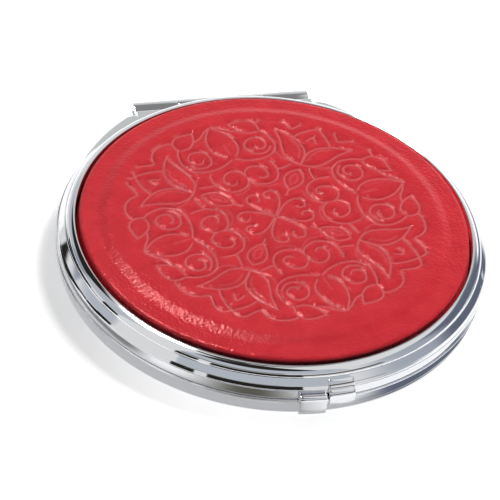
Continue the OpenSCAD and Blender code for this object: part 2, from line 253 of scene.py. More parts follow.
# card_sheen glows though it is no lamp: a painted sheen on the leather's right border.
card("card_sheen", (24, 72), (0, 20), (8, 6), 600, sheen)
card("card_left_grey", (133, 152), (9, 30), (3, 4), 622, dusk)
card("card_left_pale", (100, 179), (12, 54), (3, 6), 640, pale)
card("card_front_pale", (-149, -60), (24, 62), (2, 8), 640, pale)
card("card_laid_front", (-136, -84), (-64, -20), (24, 8), 640, olive)
card("card_laid_left", (128, 222), (-58, -19), (12, 12), 645, iron)
card("card_front_right", (-62, 10), (-6, 48), (25, 8), 640, pale, dusk)
card("card_right", (-20, 44), (-16, 44), (15, 6), 630, slate)
card("card_laid_right", (-84, -26), (-89.5, -58), (16, 3), 640, slate)
card("card_back_high", (30, 104), (47, 78), (8, 4), 640, iron)
card("card_back_middle", (30, 104), (26, 52), (8, 4), 645, mist)
card("card_back_left_high", (103, 146), (27, 57), (3, 5), 635, black)
card("card_ceiling", (-152, -66), (54, 90), (4, 4), 635, black)
card("card_ceiling_left", (136, 209), (74, 90), (4, 3), 645, black)
card("card_ceiling_back", (-4, 137), (79, 90), (4, 3), 645, black)
# card_spark glows though it is no lamp: a painted highlight, the bright strip on the leather's shoulder and white
# patches in the rims.
card("card_spark", (120, 162), (58, 77), (3, 3), 600, spark)


# ---------------------------------------------------------------- pressed shells
# The two halves of the case are deep-drawn steel, plated and mirror polished. The lid has a rolled edge, a fine
# groove, a wide and nearly flat band and a rounded lip that holds the leather; the base is a plain tray with a
# rolled rim. At the back both rims are drawn out to a straight seat for the hinge.
parting = 3.9
case_r, sheet, gap = 35.2, 0.5, 0.05
seat_back, notch_x, barrel_half, pin_y = 34.27, 15.6, 15.3, 36.5
flare_from, flare_to, seat_blend = 51, 28.3, 0.8


def bend(cx, cz, rx, rz, a0, a1, n=10):
    """Points on an elliptical arc: centre plus (rx cos a, rz sin a), a running from a0 to a1 degrees in n steps."""
    a = np.radians(np.linspace(a0, a1, n + 1))
    return np.stack([cx + rx * np.cos(a), cz + rz * np.sin(a)], -1)


def bowed(p, q, rise_mm, n=14):
    """Points on the line from p to q, pushed to its right-hand side by rise times the sine of half a turn."""
    p, q = np.array(p, float), np.array(q, float)
    s = np.linspace(0, 1, n + 1)[:, None]
    side = (q - p)[::-1] * (1, -1) / np.linalg.norm(q - p)
    return p + (q - p) * s + side * rise_mm * np.sin(np.pi * s)


def turned_grid(outline, angles, seat=None):
    """Points of a turned surface: (r cos a, r sin a, h + parting) for each outline point (r, h) and angle a. Where a
    seat is given, the outline first turns into the seat's own by a share that depends on a, and then each point moves
    out by reach(a) times its weight."""
    r, h = outline[:, 0][None, :] + 0 * angles[:, None], outline[:, 1][None, :] + 0 * angles[:, None]
    if seat is not None:
        offset, weights, share, other = seat
        r = r + share[:, None] * (other[:, 0] - outline[:, 0]) + offset[:, None] * weights
        h = h + share[:, None] * (other[:, 1] - outline[:, 1])
    a = angles[:, None]
    return np.stack([r * np.cos(a), r * np.sin(a), h + parting], -1)


def turned(name, outline, angles=None, seat=None, closed=False):
    """A turned solid. The outline runs from axis to axis, or round a closed loop. Its faces point outwards: they are
    turned over where twice the outline's area in (r, h), the sum of its points' cross products, is negative."""
    outline = np.asarray(outline, float)
    if angles is None:
        angles = np.arange(480) * 2 * np.pi / 480
    r, h = outline.T
    area = np.sum(r * np.roll(h, -1) - np.roll(r, -1) * h)
    m, n = len(angles), len(outline)
    points = turned_grid(outline, angles, seat)
    if closed:
        flat = points.reshape(-1, 3)
        i, j = np.meshgrid(np.arange(m), np.arange(n), indexing="ij")
        i2, j2 = (i + 1) % m, (j + 1) % n
        quads = np.stack([i * n + j, i2 * n + j, i2 * n + j2, i * n + j2], -1).reshape(-1, 4)
        triangles = np.zeros((0, 3), int)
    else:
        inner = points[:, 1:-1].reshape(-1, 3)
        poles = np.array([[0, 0, h[0] + parting], [0, 0, h[-1] + parting]])
        flat, k = np.concatenate([inner, poles]), n - 2
        i, j = np.meshgrid(np.arange(m), np.arange(k - 1), indexing="ij")
        i2 = (i + 1) % m
        quads = np.stack([i * k + j, i2 * k + j, i2 * k + j + 1, i * k + j + 1], -1).reshape(-1, 4)
        e, e2 = np.arange(m), (np.arange(m) + 1) % m
        first, last = m * k, m * k + 1
        triangles = np.concatenate([np.stack([np.full(m, first), e2 * k, e * k], -1),
                                    np.stack([np.full(m, last), e * k + k - 1, e2 * k + k - 1], -1)])
    if area < 0:
        quads, triangles = quads[:, ::-1], triangles[:, ::-1]
    return mesh_object(name, flat, quads, triangles)


def seat_reach(angles):
    """How far the rim stands out past the round at each angle: the distance along that direction to the outline of
    the hinge seat, worked out side by side from the cross products of the direction and each side's ends, less the
    case's radius. It is zero away from the hinge. The angles of the outline's corners from the hinge's middle come
    with it."""
    corner = np.array([notch_x + 1.4, pin_y - 3.3])
    corner_a, start_a, flare_a = math.atan2(corner[0], corner[1]), math.radians(flare_to), math.radians(flare_from)
    along = np.linspace(flare_a, start_a, 13)
    flare = case_r + (np.hypot(*corner) - case_r) * (flare_a - along) / (flare_a - corner_a)
    flare = flare[:, None] * np.stack([np.sin(along), np.cos(along)], -1)
    s = np.linspace(0, 1, 9)[1:, None]
    rounded = (1 - s) ** 2 * flare[-1] + 2 * s * (1 - s) * corner + s ** 2 * (corner - np.array([0.9, 0]))
    side = np.concatenate([flare, rounded, [[notch_x, corner[1]]], [[barrel_half + 0.15, corner[1] - 0.6]],
                           [[barrel_half, seat_back]], [[0, seat_back]]])
    side_a = np.arctan2(side[:, 0], side[:, 1])
    a = np.abs((np.pi / 2 - angles + np.pi) % (2 * np.pi) - np.pi)
    found = np.zeros_like(a)
    for p, q, a_p, a_q in zip(side, side[1:], side_a, side_a[1:]):
        here = (a <= a_p + 1e-12) & (a >= a_q - 1e-12)
        d = np.stack([np.sin(a[here]), np.cos(a[here])], -1)
        t = (q[0] * p[1] - q[1] * p[0]) / ((q - p)[1] * -d[:, 0] + (q - p)[0] * d[:, 1])
        found[here] = t - case_r
    return found, side_a


# The rim has points all round, closer ones at the back, and three at each corner of the seat, a hair apart.
hair = 4e-4
corner_angles = seat_reach(np.zeros(1))[1]
beside = (corner_angles[:, None] + np.array([-hair, 0, hair])).ravel()
back_angles = np.radians(np.arange(-50, 50.1, 0.5))
rim_angles = np.concatenate([np.arange(400) * 2 * np.pi / 400, np.pi / 2 + back_angles, np.pi / 2 + beside,
                             np.pi / 2 - beside])
rim_angles = np.unique(np.round(rim_angles % (2 * np.pi), 6))
reach = seat_reach(rim_angles)[0]
from_hinge = np.abs((np.pi / 2 - rim_angles + np.pi) % (2 * np.pi) - np.pi)
seat_share = np.where(from_hinge < corner_angles[-3], 1, smooth(np.clip(reach / seat_blend, 0, 1)))

# The lid's outline runs from the axis along its inside to the parting, and up its outside back to the axis. On the
# hinge seat its edge and groove give way to a plain ledge with as many points.
bead_r, lid_floor = 0.875, 2.9
crown_x, crown_z, crown_r = case_r - 2.97, 2.95, 1.9
rolled_edge = np.concatenate([bend(case_r - 0.35, gap + 0.35, 0.35, 0.35, -90, -4, 10),
                              [(case_r, 0.6), (case_r, 1.05), (case_r - 0.01, 1.4), (case_r - 0.02, 1.5),
                               (case_r - 0.04, 1.65)], bend(case_r - 0.13, 1.75, 0.09, 0.09, 0, 80, 5)])
fine_groove = [(case_r - 0.13, 1.87), (case_r - 0.14, 1.9), (case_r - 0.125, 1.92), (case_r - 0.08, 1.94),
               (case_r - 0.04, 1.97), (case_r - 0.03, 2.0), (case_r - 0.05, 2.05)]
lid_outer = np.concatenate([rolled_edge, fine_groove, [(case_r - 0.17, 2.29), (case_r - 0.285, 2.51)],
                            bowed((case_r - 0.3, 2.54), (case_r - 1.2, 3.57), 0.004, 14),
                            bend(crown_x, crown_z, crown_r, crown_r, 22.5, 79.5, 24),
                            bend(case_r - 2.65, 4.67, 0.15, 0.15, 90, 180, 5),
                            [(case_r - 2.8, lid_floor), (case_r - 8, lid_floor), (0, lid_floor)]])
lid_inner = np.concatenate([[(0, lid_floor - sheet), (case_r - 8, lid_floor - sheet),
                             (case_r - 2.3, lid_floor - sheet)],
                            bend(crown_x, crown_z, crown_r - sheet, crown_r - sheet, 70, 17, 8),
                            [(case_r - 1.55, 3.25), (case_r - 0.85, 2.3), (case_r - 1.0, 2.0)],
                            bend(case_r - bead_r, gap + bead_r, bead_r - sheet, bead_r - sheet, 60, -88, 10)])
shelf = np.concatenate([bend(case_r - 0.45, gap + 0.45, 0.45, 0.45, -90, 0, 9), [(case_r, 1.0), (case_r, 1.4)],
                        bend(case_r - 0.5, 1.72, 0.5, 0.45, 0, 90, len(rolled_edge) - 13)])
ledge_n, band_from = len(fine_groove), len(rolled_edge) + len(fine_groove)
ledge = np.stack([np.linspace(case_r - 0.6, case_r - 0.2, ledge_n), np.full(ledge_n, 2.19)], -1)
seat_outline = np.concatenate([lid_inner, shelf, ledge, lid_outer[band_from:]])
lid_weight = np.concatenate([np.zeros(len(lid_inner)), np.ones(len(shelf)), np.linspace(0.85, 0.1, ledge_n),
                             np.zeros(len(lid_outer) - band_from)])
lid_shell = turned("lid_case", np.concatenate([lid_inner, lid_outer]), rim_angles,
                   (reach, lid_weight, seat_share, seat_outline))
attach(lid_shell, "lid")
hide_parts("lid_shell")

# The base's outline runs likewise, inside first; a shallow ring groove marks its underside.
base_outer = np.concatenate([bend(case_r - 0.2, -gap - 0.2, 0.2, 0.2, 90, 0, 5),
                             bowed((case_r, -gap - 0.25), (case_r - 0.45, -2.55), -0.1, 12),
                             bend(case_r - 2.0, -2.55, 1.55, 1.35, 0, -90, 16)[1:],
                             [(case_r - 5.75, -parting), (case_r - 5.88, -3.75), (case_r - 6.5, -3.7),
                              (case_r - 6.65, -parting), (case_r - 12, -parting), (0, -parting)]])
base_inner = np.concatenate([[(0, sheet - parting), (case_r - 8, sheet - parting)],
                             bend(case_r - 2.0, -2.55, 1.05, 0.85, -90, 0, 10),
                             [(case_r - 0.5, -gap - 0.3), (case_r - 0.5, -gap - 0.06), (case_r - 0.44, -gap)]])
base_weight = np.concatenate([np.zeros(len(base_inner)), smooth(np.clip((base_outer[:, 1] + 2.3) / 0.7, 0, 1))])
base_outline = np.concatenate([base_inner, base_outer])
base_shell = turned("base_case", base_outline, rim_angles, (reach, base_weight, 0 * seat_share, base_outline))
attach(base_shell, "base")
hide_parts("base_shell")


def noise(nodes, link, where, scale, detail, distortion=0.0):
    """A noise on the coordinates of a socket."""
    node = nodes.new("ShaderNodeTexNoise")
    node.inputs["Scale"].default_value, node.inputs["Detail"].default_value = scale, detail
    node.inputs["Distortion"].default_value = distortion
    link(where, node.inputs["Vector"])
    return node.outputs["Fac"]


def bumped(nodes, link, height, strength, distance, under=None):
    """A normal bumped by a height socket, over the normal of another bump where one is given."""
    bump = nodes.new("ShaderNodeBump")
    bump.inputs["Strength"].default_value, bump.inputs["Distance"].default_value = strength, distance
    link(height, bump.inputs["Height"])
    if under is not None:
        link(under, bump.inputs["Normal"])
    return bump.outputs["Normal"]


polished_steel, nodes, link, out = new_material("polished_steel")
metal, where = nodes.new("ShaderNodeBsdfPrincipled"), nodes.new("ShaderNodeTexCoord")
metal.inputs["Base Color"].default_value = (0.82, 0.83, 0.85, 1)
metal.inputs["Metallic"].default_value = 1.0
metal.inputs["IOR"].default_value = 2.5
wear = noise(nodes, link, where.outputs["Object"], 160, 6)
link(ranged(nodes, link, wear, (0.015, 0.06)), metal.inputs["Roughness"])
ripple = noise(nodes, link, where.outputs["Object"], 420, 3)
link(bumped(nodes, link, ripple, 0.06, 0.00004), metal.inputs["Normal"])
link(metal.outputs[0], out.inputs[0])
for shell in (lid_shell, base_shell):
    shell.data.materials.append(polished_steel)


# ---------------------------------------------------------------- mirror frames
# Turned steel rings, bright plated, pressed into each half over the edge of its glass. Their flat faces are
# finely satined by the lathe and lie just behind the parting plane.
glass_r, face, lip_w, lip_t = 31.0, 0.35, 0.7, 0.3


def eased(corners, reach, n=3):
    """The polyline with each corner cut back by reach, at most 0.45 of a side, and turned with a quadratic curve, and
    with one more point beyond it on each long side, which keeps the side flat in its shading."""
    corners = np.asarray(corners, float)
    made = [corners[:1]]
    s = np.linspace(0, 1, n + 1)[:, None]
    for before, at, after in zip(corners, corners[1:], corners[2:]):
        u, v = before - at, after - at
        lu, lv = np.linalg.norm(u), np.linalg.norm(v)
        cut = min(reach, lu * 0.45, lv * 0.45)
        p, q = at + u / lu * cut, at + v / lv * cut
        if lu > cut * 3.5:
            made.append([at + u / lu * cut * 1.5])
        made.append((1 - s) ** 2 * p + 2 * s * (1 - s) * at + s ** 2 * q)
        if lv > cut * 3.5:
            made.append([at + v / lv * cut * 1.5])
    return np.concatenate(made + [corners[-1:]])


def frame_outline(outer_r, floor, side):
    """Closed profile of a frame ring with its corners turned, mirrored below the parting plane for side -1."""
    corners = [(glass_r + 1.4, face), (outer_r - 0.3, face), (outer_r, face + 0.3), (outer_r, floor - 0.8),
               (outer_r - 0.8, floor), (glass_r + 0.05, floor), (glass_r + 0.05, face + lip_t),
               (glass_r - lip_w, face + lip_t), (glass_r - lip_w, face), (glass_r + 1.4, face)]
    return eased(corners, 0.08)[:-1] * (1, side)


lid_frame = turned("lid_mirror_ring", frame_outline(case_r - 1.3, lid_floor - sheet, 1), closed=True)
base_frame = turned("base_mirror_ring", frame_outline(case_r - 1.36, parting - sheet, -1), closed=True)
satined_steel, nodes, link, out = new_material("satined_steel")
metal, where = nodes.new("ShaderNodeBsdfPrincipled"), nodes.new("ShaderNodeTexCoord")
metal.inputs["Metallic"].default_value = 1.0
metal.inputs["Base Color"].default_value = (0.78, 0.78, 0.79, 1)
apart, flat, radius = (nodes.new("ShaderNode" + kind) for kind in ("SeparateXYZ", "CombineXYZ", "VectorMath"))
link(where.outputs["Object"], apart.inputs[0])
link(apart.outputs["X"], flat.inputs["X"])
link(apart.outputs["Y"], flat.inputs["Y"])
radius.operation = "LENGTH"
link(flat.outputs[0], radius.inputs[0])
turning = nodes.new("ShaderNodeTexNoise")
turning.noise_dimensions = "1D"
turning.inputs["Scale"].default_value, turning.inputs["Detail"].default_value = 9000, 4
link(radius.outputs["Value"], turning.inputs["W"])
link(ranged(nodes, link, turning.outputs["Fac"], (0.12, 0.3)), metal.inputs["Roughness"])
link(bumped(nodes, link, turning.outputs["Fac"], 0.15, 0.00003), metal.inputs["Normal"])
link(metal.outputs[0], out.inputs[0])
for ring, body in ((lid_frame, "lid"), (base_frame, "base")):
    ring.data.materials.append(satined_steel)
    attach(ring, body)
    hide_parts(body + "_mirror_frame")


# ---------------------------------------------------------------- mirrors
# Float glass, silvered on the back, with a ground arris: flat in the lid, ground to a shallow hollow in the
# base so that it magnifies. Handling leaves faint smears on them.
glass_face, glass_t, hollow, arris = face + lip_t, 1.5, 0.3, 0.15
lid_glass_outline = [(0, glass_face), (15, glass_face), (glass_r - 0.3, glass_face), (glass_r - arris, glass_face),
                     (glass_r, glass_face + arris), (glass_r, glass_face + glass_t - arris),
                     (glass_r - arris, glass_face + glass_t), (15, glass_face + glass_t), (0, glass_face + glass_t)]
s = np.linspace(0, 1, 25)
dish = np.stack([(glass_r - lip_w) * s, -glass_face - hollow * (1 - s * s)], -1)
base_glass_outline = np.concatenate([dish, [(glass_r - arris, -glass_face), (glass_r, -glass_face - arris),
                                            (glass_r, -glass_face - glass_t + arris),
                                            (glass_r - arris, -glass_face - glass_t), (0, -glass_face - glass_t)]])
silvered_glass, nodes, link, out = new_material("silvered_glass")
silver, where = nodes.new("ShaderNodeBsdfPrincipled"), nodes.new("ShaderNodeTexCoord")
silver.inputs["Metallic"].default_value = 1.0
silver.inputs["Base Color"].default_value = (0.86, 0.89, 0.88, 1)
silver.inputs["Coat Weight"].default_value, silver.inputs["Coat Roughness"].default_value = 0.6, 0.01
smears = noise(nodes, link, where.outputs["Object"], 90, 5, 0.7)
link(ranged(nodes, link, smears, (0.008, 0.05), (0.45, 0.75)), silver.inputs["Roughness"])
link(silver.outputs[0], out.inputs[0])
for body, outline in (("lid", lid_glass_outline), ("base", base_glass_outline)):
    glass = turned(body + "_mirror", outline)
    glass.data.materials.append(silvered_glass)
    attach(glass, body)
    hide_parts(body + "_mirror_glass")


# ---------------------------------------------------------------- hinge
# Two leaves of sheet steel, soldered to the seats of the two halves. Each has its edge turned out and rolled
# round the pin: two knuckles on the lid's leaf, at the ends, and one long knuckle between them on the base's.
leaf_y, leaf_t, barrel_r, bore_r = seat_back + 0.03, 0.5, 1.5, 0.61
middle_half, knuckle_gap = 7.5, 0.1


def ribbon(side_a, side_b, start, stop, place, edge=0.08, steps=1):
    """Points and faces of a strip of sheet. Its closed profile runs out along side_a and back along side_b and is
    carried from start to stop. Near each end it shrinks by edge (1 - sin s) while it moves on by edge (1 - cos s),
    s from 0 to a quarter turn, which rounds the cut edges; a profile drawn in a little more lies inside each cut
    face and keeps it flat in its shading. place(points, t) puts a profile where it belongs."""
    inset = 0.04
    profile = np.concatenate([side_a, side_b[::-1]])
    y, h = profile.T
    area = np.sum(y * np.roll(h, -1) - np.roll(y, -1) * h)
    along = np.roll(profile, -1, 0) - np.roll(profile, 1, 0)
    inward = np.stack([-along[:, 1], along[:, 0]], -1) * np.sign(area) / np.linalg.norm(along, axis=1)[:, None]
    turn_s = np.radians([0, 0, 30, 60, 90])
    shrink = edge * (1 - np.sin(turn_s)) + np.array([inset, 0, 0, 0, 0])
    moved = edge * (1 - np.cos(turn_s))
    middle = np.linspace(start + edge, stop - edge, steps + 1)[1:-1]
    at = np.concatenate([start + moved, middle, stop - moved[::-1]])
    shrink = np.concatenate([shrink, np.zeros(len(middle)), shrink[::-1]])
    points = np.concatenate([place(profile + inward * k, t) for k, t in zip(shrink, at)])
    n, m, half = len(profile), len(at), len(side_a)
    i, j = np.meshgrid(np.arange(m - 1), np.arange(n), indexing="ij")
    j2 = (j + 1) % n
    quads = np.stack([i * n + j, i * n + j2, (i + 1) * n + j2, (i + 1) * n + j], -1).reshape(-1, 4)
    k = np.arange(half - 1)
    cap = np.stack([k, n - 1 - k, n - 2 - k, k + 1], -1)
    quads = np.concatenate([quads, cap, cap[:, ::-1] + (m - 1) * n])
    return points, quads if area < 0 else quads[:, ::-1]


def joined(name, parts):
    """One object from several closed (points, quads) parts."""
    counts = np.cumsum([0] + [len(p) for p, _ in parts])
    return mesh_object(name, np.concatenate([p for p, _ in parts]),
                       np.concatenate([q + c for (_, q), c in zip(parts, counts)]))


def across(points, x):
    """A profile in (y, h) placed in the plane at x."""
    return np.stack([np.full(len(points), x), points[:, 0], points[:, 1] + parting], -1)


def leaf_parts(side, spans):
    """A leaf on side 1, the lid's, or -1, the base's, with a knuckle on each span of x. The rolled strip leaves the
    leaf at its outer edge, and its outside and the bore are two arcs about the pin that end at the seam."""
    parts = [ribbon(np.array([(leaf_y, 0.05), (leaf_y, 0.15), (leaf_y, 1.35), (leaf_y + 0.1, 1.49)]) * (1, side),
                    np.array([(leaf_y + leaf_t, 0.05), (leaf_y + leaf_t, 0.15), (leaf_y + leaf_t, 1.35),
                              (leaf_y + leaf_t - 0.1, 1.49)]) * (1, side),
                    -barrel_half, barrel_half, across)]
    outside = np.concatenate([[(leaf_y + 0.3, 0.97), (leaf_y + 0.6, 1.06)],
                              bend(pin_y, 0, barrel_r, barrel_r, 112, -172, 44)])
    inside = np.concatenate([[(leaf_y + 0.3, 0.5), (leaf_y + 0.6, 0.52)],
                             bend(pin_y, 0, bore_r, bore_r, 120, -160, 44)])
    for x0, x1 in spans:
        parts.append(ribbon(outside * (1, side), inside * (1, side), x0, x1, across, 0.1))
    return parts


lid_spans = [(-barrel_half, -middle_half - knuckle_gap), (middle_half + knuckle_gap, barrel_half)]
lid_leaf = joined("lid_leaf", leaf_parts(1, lid_spans))
base_leaf = joined("base_leaf", leaf_parts(-1, [(-middle_half, middle_half)]))
for leaf, body in ((lid_leaf, "lid"), (base_leaf, "base")):
    leaf.data.materials.append(polished_steel)
    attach(leaf, body)
    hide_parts(body + "_hinge_leaf")


# ---------------------------------------------------------------- lift tab and catch
# Two bent strips of spring steel at the front. The tab is soldered to the band of the lid and curls over the
# edge for a fingernail; the catch comes out of the base, arches over the lid's edge and snaps onto it.
band_low, curl_x, curl_z, arch_x, arch_z = 2.2, case_r + 0.2, 0.4, case_r + 0.85, 0.95
root_x, root_z = case_r - 0.05, -0.3
tip_x, tip_z = case_r - 1.6, -0.45


def round_the_case(points, t):
    """A profile in (r, h) placed at the distance t along the case edge, counted from the front: its angle is t over
    the case's radius less a quarter turn."""
    a = t / case_r - np.pi / 2
    return np.stack([points[:, 0] * math.cos(a), points[:, 0] * math.sin(a), points[:, 1] + parting], -1)


tab_top = np.concatenate([[(case_r - 0.7, 3.37)],
                          bowed((case_r - 0.67, 3.38), (case_r + 0.12, band_low + 0.27), -0.1, 8),
                          bend(curl_x, curl_z, 1.0, 1.6, 85, -70, 28)])
tab_under = np.concatenate([[(case_r - 0.87, 3.22)], bowed((case_r - 0.85, 3.2), (case_r - 0.15, band_low), -0.1, 8),
                            bend(curl_x, curl_z, 0.6, 1.2, 85, -70, 28)])
tab = joined("lift_strip", [ribbon(tab_top, tab_under, 0.2, 4.4, round_the_case, 0.12, 8)])
arch_top = np.concatenate([[(case_r - 0.9, -0.45), (case_r, -0.45)], bend(root_x, root_z, 0.15, 0.15, -90, 0, 4),
                           [(case_r + 0.1, 0.3), (case_r + 0.1, 1.05)],
                           bend(arch_x, arch_z, 0.75, 0.75, 170, 0, 20), [(case_r + 1.6, 0.2)],
                           bend(tip_x, tip_z, 3.2, 3.2, 0, -28, 9)])
arch_under = np.concatenate([[(case_r - 0.9, -0.85), (case_r, -0.85)], bend(root_x, root_z, 0.55, 0.55, -90, 0, 4),
                             [(case_r + 0.5, 0.3), (case_r + 0.5, 0.9)],
                             bend(arch_x, arch_z, 0.35, 0.35, 170, 0, 20), [(case_r + 1.2, 0.2)],
                             bend(tip_x, tip_z, 2.8, 2.8, 0, -28, 9)])
catch = joined("catch_strip", [ribbon(arch_top, arch_under, -4.4, -0.2, round_the_case, 0.12, 8)])
for strip, body, node in ((tab, "lid", "lift_tab"), (catch, "base", "base_catch")):
    strip.data.materials.append(polished_steel)
    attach(strip, body)
    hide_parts(node)


# ---------------------------------------------------------------- hidden layers
# What the shells and the leather cover: adhesive sheets, the card spacer under the base mirror, the greyboard
# and foam of the insert, and the drawn steel hinge pin. They keep the solids of the frame.
def ramped(nodes, link, value, start, stop, dark, light):
    """A colour that runs from dark, at the value start, to light, at stop."""
    ramp = nodes.new("ShaderNodeValToRGB")
    ramp.color_ramp.elements[0].position, ramp.color_ramp.elements[1].position = start, stop
    ramp.color_ramp.elements[0].color, ramp.color_ramp.elements[1].color = (*dark, 1), (*light, 1)
    link(value, ramp.inputs["Fac"])
    return ramp.outputs["Color"]


def layer_finish(name, light, dark, scale, roughness, stretch=(1, 1, 1), metallic=0.0, height=0.00005):
    """A material that runs between two colours with a noise of the given scale, stretched by a mapping, with the
    same noise as its bump."""
    material, nodes, link, out = new_material(name)
    body = nodes.new("ShaderNodeBsdfPrincipled")
    body.inputs["Roughness"].default_value, body.inputs["Metallic"].default_value = roughness, metallic
    where, place = nodes.new("ShaderNodeTexCoord"), nodes.new("ShaderNodeMapping")
    place.inputs["Scale"].default_value = stretch
    link(where.outputs["Object"], place.inputs["Vector"])
    grain = noise(nodes, link, place.outputs["Vector"], scale, 6)
    link(ramped(nodes, link, grain, 0.35, 0.65, dark, light), body.inputs["Base Color"])
    link(bumped(nodes, link, grain, 0.5, height), body.inputs["Normal"])
    link(body.outputs[0], out.inputs[0])
    return material


adhesive = layer_finish("adhesive_sheet", (0.86, 0.84, 0.78), (0.72, 0.69, 0.6), 500, 0.55)
boxboard = layer_finish("spacer_card", (0.6, 0.46, 0.3), (0.42, 0.31, 0.2), 900, 0.85, (1, 0.2, 1))
greyboard = layer_finish("greyboard", (0.44, 0.42, 0.39), (0.25, 0.24, 0.23), 1300, 0.9, (1, 0.3, 1))
foam = layer_finish("padding_foam", (0.83, 0.82, 0.78), (0.6, 0.59, 0.55), 2600, 0.95, height=0.00015)
# The pin's steel is made very dark: a painted shade for the pin hole at the barrel's end.
pin_steel_in_shade = layer_finish("pin_steel_in_shade", (0.16, 0.16, 0.17), (0.07, 0.07, 0.075), 900, 0.5, (0.05, 1, 1), 1.0)
for node, finish in (("base_mirror_adhesive", adhesive), ("lid_mirror_adhesive", adhesive),
                     ("insert_adhesive", adhesive), ("base_mirror_spacer", boxboard), ("insert_board", greyboard),
                     ("leather_padding", foam), ("hinge_pin", pin_steel_in_shade)):
    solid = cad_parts[node]
    solid.data.materials.clear()
    solid.data.materials.append(finish)


# ---------------------------------------------------------------- leather pad
# Red cowhide over foam and board, turned under and glued, and hot-pressed: a raised round centre, a sloping
# border, and a scroll rosette drawn by the die as fine grooves in eight alike parts.
centre_r, shoulder_r0, shoulder_r1, insert_r = 25.0, 26.8, 29.2, 32.1
centre_h, crown, shoulder_drop, board_r = 6.2, 0.15, 0.65, 31.3
groove_depth, groove_w, sink_depth, sink_w = 0.22, 0.26, 0.12, 0.9
# The width and shares of the pale painted highlight along the grooves come with them.
faint_depth, faint_w, highlight_w, faint_highlight, highlight_share = 0.08, 0.3, 0.15, 0.4, 0.6
rosette_x, rosette_y, rosette_turn = 0.3, 0.88, 31.0

# Grooves of one eighth of the rosette: x across and y along the axis of a tulip, up to the diagonal.
volute = [(0.12, 0.3), (0.18, 1.5), (0.3, 2.9), (0.7, 4.3), (1.4, 5.3), (2.4, 5.7), (3.3, 5.2), (3.5, 4.4),
          (3.0, 3.8), (2.3, 3.75)]
stem = [(0, 5.9), (0, 7.2)]
almond = [(0, 7.2), (0.8, 8.2), (1.5, 9.7), (1.4, 11.1), (0.7, 12.1), (0, 12.7)]
almond_vein = [(0, 8.3), (0.55, 9.4), (0.5, 10.6), (0, 11.4)]
chevron = [(1.6, 13.5), (2.4, 12.3), (3.2, 11.4)]
chevron_arm = [(3.2, 11.4), (4.0, 12.2), (4.9, 12.9)]
scroll = [(3.2, 11.4), (2.7, 10.2), (2.6, 9.0), (3.1, 7.8), (4.2, 6.9), (5.5, 6.5), (6.8, 6.8), (7.7, 7.7),
          (8.0, 8.9), (7.6, 10.1), (6.5, 10.7), (5.3, 10.6), (4.4, 9.9), (4.2, 9.1), (4.7, 8.4), (5.3, 8.3)]
scroll_echo = [(2.2, 7.6), (3.3, 6.5), (4.8, 6.1), (6.2, 6.2)]
tulip_cup = [(0, 14.1), (1.6, 14.35), (3.1, 15.3), (4.1, 16.9), (4.9, 18.6), (5.8, 20.0), (6.7, 21.0)]
tulip_petal = [(6.7, 21.0), (5.0, 20.8), (3.2, 20.3), (1.7, 19.4), (0.7, 18.3), (0.15, 17.0), (0.05, 15.4), (0, 14.3)]
petal_vein = [(3.4, 19.6), (2.0, 18.7), (1.1, 17.3), (0.8, 15.6)]
cup_echo = [(2.0, 14.3), (3.6, 14.6), (4.9, 15.6), (5.3, 16.6)]
diamond = [(3.1, 20.6), (2.5, 21.7), (1.5, 22.9), (0.3, 24.0), (0, 24.15)]
teardrop = [(0.75, 20.4), (0.5, 21.1), (0, 21.7)]
bracket = [(0, 24.2), (1.3, 25.0), (2.4, 24.6), (3.2, 23.6), (4.2, 22.4), (5.5, 23.1), (7.1, 23.4), (8.8, 22.8),
           (10, 21.8), (10.2, 21.2)]
loop = [(10.4, 10.9), (8.6, 11.5), (7.0, 12.5), (5.7, 13.9), (5.1, 15.6), (5.4, 17.2), (6.4, 18.4), (7.8, 19.3),
        (9.0, 19.7)]
curl = [(6.0, 16.6), (6.1, 15.2), (6.9, 14.1), (8.2, 13.7), (9.5, 14.2), (10.2, 15.4), (10.0, 16.7), (9.1, 17.6),
        (7.9, 17.6), (7.0, 16.9), (6.9, 15.9), (7.5, 15.1), (8.4, 15.1)]
leaflet_top = [(9.0, 19.7), (9.9, 20.9), (11.2, 21.3), (12.6, 20.7), (14.2, 19.0)]
leaflet_low = [(9.2, 19.3), (10.2, 18.4), (11.6, 18.1), (13, 18.4), (14.2, 19.0)]
stroke = [(12.2, 18.0), (13.6, 17.4), (15.2, 17.3), (16.6, 17.0)]
corner_leaf = [(10.5, 11.9), (10.6, 13.3), (11.3, 14.7), (12.7, 15.9), (14.4, 16.6), (16.7, 16.9)]
corner_vein = [(11.3, 11.3), (13.2, 13.2)]
grooves = [volute, stem, almond, chevron, chevron_arm, scroll, tulip_cup, tulip_petal, diamond, teardrop, bracket,
           loop, curl, leaflet_top, leaflet_low, stroke, corner_leaf]
faint_grooves = [almond_vein, scroll_echo, petal_vein, cup_echo, corner_vein]


def flowing(points, n=10):
    """A smooth curve through the points: between each two, a cubic whose slopes at them are half the difference of
    their neighbours."""
    p = np.array(points, float)
    p = np.concatenate([[2 * p[0] - p[1]], p, [2 * p[-1] - p[-2]]])
    s = np.linspace(0, 1, n, endpoint=False)[None, :, None]
    a, b, c, d = p[:-3, None], p[1:-2, None], p[2:-1, None], p[3:, None]
    curve = 0.5 * (2 * b + (c - a) * s + (2 * a - 5 * b + 4 * c - d) * s ** 2 + (3 * b - a - 3 * c + d) * s ** 3)
    return np.concatenate([curve.reshape(-1, 2), p[-2:-1]])


